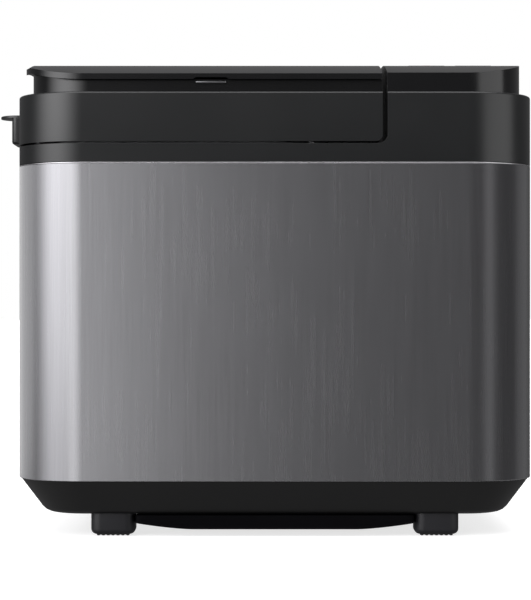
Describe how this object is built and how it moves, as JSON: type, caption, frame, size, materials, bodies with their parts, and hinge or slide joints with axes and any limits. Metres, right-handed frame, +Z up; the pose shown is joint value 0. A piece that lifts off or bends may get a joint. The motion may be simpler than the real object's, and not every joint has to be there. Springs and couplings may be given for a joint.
{
  "type": "bread machine",
  "caption": "Household bread machine with a steel wrap, side-hinged lid with dispensers, lift-out pan, belt-driven kneading blade and a raised control block.",
  "frame": {"origin": "under the middle of the object's outer box, on the surface it stands on", "axes": "+Z up, -Y is the front, +X points to the control block end and -X to the lid's handle"},
  "size_m": [0.4154, 0.252, 0.3622],
  "materials": {
    "black_plastic": "satin",
    "base_plastic": "matt",
    "gloss_black": "gloss",
    "dark_steel": "brushed",
    "steel": "plain",
    "coated_pan": "non-stick coating",
    "rubber": "matt",
    "silicone": "matt",
    "white_nylon": "plain",
    "element": "oxidised",
    "board_green": "plain",
    "bronze": "plain",
    "window": "gloss",
    "button": "satin"
  },
  "bodies": {
    "housing": {"base_tray": "base_plastic", "bottom_cover": "base_plastic", "foot_pad_front_left": "rubber", "foot_pad_front_right": "rubber", "foot_pad_rear_left": "rubber", "foot_pad_rear_right": "rubber", "cord_gland": "rubber", "drive_belt": "rubber", "chassis_plate": "steel", "chamber_liner": "steel", "pan_socket": "steel", "heat_shield": "steel", "bearing_housing": "steel", "motor_can": "steel", "motor_capacitor": "steel", "hinge_bracket": "steel", "body_shell": "dark_steel", "motor_stator": "dark_steel", "upper_housing": "black_plastic", "control_panel": "gloss_black", "display_window": "window", "control_board": "board_green", "power_board": "board_green", "heating_element": "element", "sensor_housing": "white_nylon", "shaft_bush": "bronze"},
    "drive": {"drive_shaft": "steel", "drive_coupling": "steel", "driven_pulley": "white_nylon"},
    "motor_rotor_set": {"motor_shaft": "steel", "motor_rotor": "dark_steel", "motor_pulley": "white_nylon", "motor_fan": "white_nylon"},
    "sensor": {"temperature_sensor": "steel"},
    "pan": {"bread_pan": "coated_pan", "pan_bush": "bronze"},
    "pan_bail": {"pan_handle": "steel"},
    "blade": {"pan_shaft": "steel", "pan_coupling": "steel", "kneading_blade": "coated_pan"},
    "lid": {"lid_shell": "black_plastic", "lid_handle": "black_plastic", "lid_inner_cover": "steel", "lid_hinge_pin": "steel", "lid_gasket": "silicone", "steam_duct": "silicone", "nut_dispenser": "white_nylon", "yeast_cup": "white_nylon", "flap_solenoid": "dark_steel"},
    "cover": {"dispenser_lid": "black_plastic"},
    "flap": {"dispenser_flap": "white_nylon"},
    "latch": {"flap_latch": "steel"},
    "valve": {"yeast_valve": "silicone"},
    "button_menu_key": {"button_menu": "button"},
    "button_size_key": {"button_size": "button"},
    "button_crust_key": {"button_crust": "button"},
    "button_timer_down_key": {"button_timer_down": "button"},
    "button_timer_up_key": {"button_timer_up": "button"},
    "button_stop_key": {"button_stop": "button"},
    "button_start_key": {"button_start": "button"}
  },
  "joints": [
    {"name": "lid_hinge", "type": "hinge", "parent": "housing", "child": "lid", "pos_m": [0.07625, 0, 0.3485], "axis": [0, 1, 0], "range_deg": [0, 100]},
    {"name": "cover_hinge", "type": "hinge", "parent": "lid", "child": "cover", "pos_m": [0.01225, 0.119, 0.3375], "axis": [-1, 0, 0], "range_deg": [0, 85]},
    {"name": "flap_hinge", "type": "hinge", "parent": "lid", "child": "flap", "pos_m": [-0.08125, 0.013, 0.3035], "axis": [0, 1, 0], "range_deg": [0, 60]},
    {"name": "latch_slide", "type": "slide", "parent": "lid", "child": "latch", "axis": [1, 0, 0], "range_m": [0, 0.004], "stiffness_N_per_m": 100},
    {"name": "valve_slide", "type": "slide", "parent": "lid", "child": "valve", "axis": [0, 0, 1], "range_m": [0, 0.004], "stiffness_N_per_m": 60},
    {"name": "pan_lift", "type": "slide", "parent": "housing", "child": "pan", "axis": [0, 0, 1], "range_m": [0, 0.07]},
    {"name": "pan_handle_swing", "type": "hinge", "parent": "pan", "child": "pan_bail", "pos_m": [-0.06275, 0, 0.202], "axis": [0, -1, 0], "range_deg": [0, 180]},
    {"name": "blade_spin", "type": "hinge", "parent": "pan", "child": "blade", "pos_m": [-0.06275, 0, 0.1], "axis": [0, 0, 1], "continuous": true},
    {"name": "drive_spin", "type": "hinge", "parent": "housing", "child": "drive", "pos_m": [-0.06275, 0, 0.05], "axis": [0, 0, 1], "continuous": true},
    {"name": "motor_spin", "type": "hinge", "parent": "housing", "child": "motor_rotor_set", "pos_m": [0.07225, 0, 0.05], "axis": [0, 0, 1], "continuous": true},
    {"name": "sensor_slide", "type": "slide", "parent": "housing", "child": "sensor", "axis": [1, 0, 0], "range_m": [0, 0.003], "stiffness_N_per_m": 200},
    {"name": "button_menu_press", "type": "slide", "parent": "housing", "child": "button_menu_key", "axis": [0, 0, -1], "range_m": [0, 0.0008], "stiffness_N_per_m": 500},
    {"name": "button_size_press", "type": "slide", "parent": "housing", "child": "button_size_key", "axis": [0, 0, -1], "range_m": [0, 0.0008], "stiffness_N_per_m": 500},
    {"name": "button_crust_press", "type": "slide", "parent": "housing", "child": "button_crust_key", "axis": [0, 0, -1], "range_m": [0, 0.0008], "stiffness_N_per_m": 500},
    {"name": "button_timer_down_press", "type": "slide", "parent": "housing", "child": "button_timer_down_key", "axis": [0, 0, -1], "range_m": [0, 0.0008], "stiffness_N_per_m": 500},
    {"name": "button_timer_up_press", "type": "slide", "parent": "housing", "child": "button_timer_up_key", "axis": [0, 0, -1], "range_m": [0, 0.0008], "stiffness_N_per_m": 500},
    {"name": "button_stop_press", "type": "slide", "parent": "housing", "child": "button_stop_key", "axis": [0, 0, -1], "range_m": [0, 0.0008], "stiffness_N_per_m": 500},
    {"name": "button_start_press", "type": "slide", "parent": "housing", "child": "button_start_key", "axis": [0, 0, -1], "range_m": [0, 0.0008], "stiffness_N_per_m": 500}
  ],
  "couplings": [
    {"joint": "motor_spin", "follows": "drive_spin", "ratio": 4.7778},
    {"joint": "blade_spin", "follows": "drive_spin", "ratio": 1}
  ]
}
